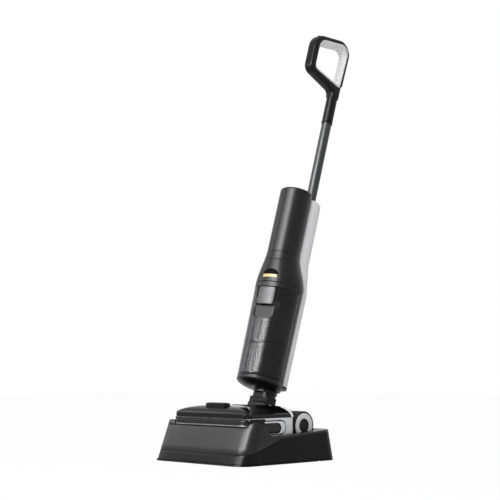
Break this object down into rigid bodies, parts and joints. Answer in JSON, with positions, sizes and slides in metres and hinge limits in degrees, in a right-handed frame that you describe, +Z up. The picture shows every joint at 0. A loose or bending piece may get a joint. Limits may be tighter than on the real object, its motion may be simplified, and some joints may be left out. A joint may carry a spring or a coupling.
{
  "type": "wet dry floor scrubber",
  "caption": "Upright wet and dry floor scrubber with a leaning loop handle, a driven roller head, clean and dirty water tanks, standing in its self-cleaning dock.",
  "frame": {"origin": "on the floor at the middle of the dock's flat bottom plate", "axes": "+Z up, +Y from the scrubber's front to its back, +X to the right of someone facing the same way as the machine's back, so the handle leans towards +Y"},
  "size_m": [0.32, 0.5576, 1.1202],
  "materials": {
    "charcoal_plastic": "satin",
    "black_gloss": "gloss",
    "light_grey": "matte",
    "smoky_clear": "clear",
    "satin_grey": "satin",
    "amber_light": "lit",
    "tyre_rubber": "matte",
    "soft_rubber": "matte",
    "pole_metal": "satin anodised",
    "steel": "satin",
    "chrome_pin": "bright",
    "contact_brass": "bright",
    "motor_body": "satin",
    "inner_plastic": "matte",
    "board_green": "matte",
    "pile_fabric": "pile",
    "filter_pleats": "pleated"
  },
  "bodies": {
    "dock": {"dock_base": "charcoal_plastic", "dock_front_cover": "charcoal_plastic", "dock_tray": "inner_plastic", "dock_bottom_plate": "inner_plastic", "dock_pads": "soft_rubber", "dock_contacts": "contact_brass", "dock_power_inlet": "inner_plastic", "dock_screws": "steel"},
    "head": {"head_chassis": "light_grey", "head_deck": "black_gloss", "neck_shroud": "black_gloss", "front_bumper": "satin_grey", "side_cap_left": "charcoal_plastic", "side_cap_right": "charcoal_plastic", "brush_motor": "motor_body", "drive_belt": "soft_rubber", "suction_duct": "inner_plastic", "spray_bar": "inner_plastic", "scraper_blade": "soft_rubber", "wheel_axle": "steel", "head_screws": "steel"},
    "hood": {"roller_hood": "black_gloss"},
    "hood_latch": {"hood_latch": "black_gloss"},
    "roller": {"roller_core": "inner_plastic", "roller_sleeve": "pile_fabric"},
    "motor_pulley": {"motor_pulley": "steel"},
    "wheel_left": {"wheel_rim_left": "light_grey", "wheel_tyre_left": "tyre_rubber"},
    "wheel_right": {"wheel_rim_right": "light_grey", "wheel_tyre_right": "tyre_rubber"},
    "neck": {"neck_yoke": "black_gloss", "neck_pin": "chrome_pin"},
    "upright": {"base_cup": "black_gloss", "rear_frame": "charcoal_plastic", "shoulder_shell": "charcoal_plastic", "waist_ring": "charcoal_plastic", "motor_housing": "charcoal_plastic", "display_window": "black_gloss", "light_bar": "amber_light", "suction_motor": "motor_body", "battery_pack": "motor_body", "exhaust_filter": "filter_pleats", "water_pump": "inner_plastic", "control_board": "board_green", "pole": "pole_metal", "pole_ring": "black_gloss", "handle_shell": "black_gloss", "handle_liner": "light_grey"},
    "dirty_tank": {"dirty_tank_shell": "smoky_clear", "dirty_tank_lid": "charcoal_plastic", "tank_inlet_tube": "inner_plastic", "tank_seal": "soft_rubber", "tank_strainer": "inner_plastic"},
    "tank_float": {"tank_float": "light_grey"},
    "tank_latch": {"tank_latch": "satin_grey"},
    "clean_tank": {"clean_tank_shell": "light_grey"},
    "clean_tank_cap": {"clean_tank_cap": "soft_rubber"},
    "power_button": {"power_button": "satin_grey"},
    "mode_button": {"mode_button": "satin_grey"}
  },
  "joints": [
    {"name": "lift_off_dock", "type": "slide", "parent": "dock", "child": "head", "axis": [0, 0, 1], "range_m": [0, 0.12]},
    {"name": "roller_spin", "type": "hinge", "parent": "head", "child": "roller", "pos_m": [0, -0.075, 0.084], "axis": [1, 0, 0], "continuous": true},
    {"name": "motor_pulley_spin", "type": "hinge", "parent": "head", "child": "motor_pulley", "pos_m": [0, -0.002, 0.083], "axis": [1, 0, 0], "continuous": true},
    {"name": "wheel_left_spin", "type": "hinge", "parent": "head", "child": "wheel_left", "pos_m": [0, 0.08, 0.0846], "axis": [1, 0, 0], "continuous": true},
    {"name": "wheel_right_spin", "type": "hinge", "parent": "head", "child": "wheel_right", "pos_m": [0, 0.08, 0.0846], "axis": [1, 0, 0], "continuous": true},
    {"name": "hood_lift", "type": "slide", "parent": "head", "child": "hood", "axis": [0, 0, 1], "range_m": [0, 0.045]},
    {"name": "hood_latch_slide", "type": "slide", "parent": "hood", "child": "hood_latch", "axis": [0, 1, 0], "range_m": [0, 0.006], "stiffness_N_per_m": 150},
    {"name": "neck_recline", "type": "hinge", "parent": "head", "child": "neck", "pos_m": [0, 0.056, 0.128], "axis": [-1, 0, 0], "range_deg": [0, 50]},
    {"name": "neck_swivel", "type": "hinge", "parent": "neck", "child": "upright", "pos_m": [0, 0.07248, 0.16479], "axis": [0, 0.2924, 0.9563], "range_deg": [-30, 30]},
    {"name": "dirty_tank_pull", "type": "slide", "parent": "upright", "child": "dirty_tank", "axis": [0, -0.9563, 0.2924], "range_m": [0, 0.12]},
    {"name": "float_rise", "type": "slide", "parent": "dirty_tank", "child": "tank_float", "axis": [0, 0.2924, 0.9563], "range_m": [0, 0.018]},
    {"name": "tank_latch_press", "type": "slide", "parent": "dirty_tank", "child": "tank_latch", "axis": [-0.2588, 0.9237, -0.2824], "range_m": [0, 0.0025], "stiffness_N_per_m": 600},
    {"name": "clean_tank_pull", "type": "slide", "parent": "upright", "child": "clean_tank", "axis": [0, 0.9563, -0.2924], "range_m": [0, 0.02]},
    {"name": "clean_tank_cap_pull", "type": "slide", "parent": "clean_tank", "child": "clean_tank_cap", "axis": [0, 0.9563, -0.2924], "range_m": [0, 0.008]},
    {"name": "power_button_press", "type": "slide", "parent": "upright", "child": "power_button", "axis": [0, 0.2588, -0.9659], "range_m": [0, 0.0012], "stiffness_N_per_m": 400},
    {"name": "mode_button_press", "type": "slide", "parent": "upright", "child": "mode_button", "axis": [0, 0.6428, -0.766], "range_m": [0, 0.0012], "stiffness_N_per_m": 400}
  ],
  "couplings": [
    {"joint": "motor_pulley_spin", "follows": "roller_spin", "ratio": 1.375}
  ]
}
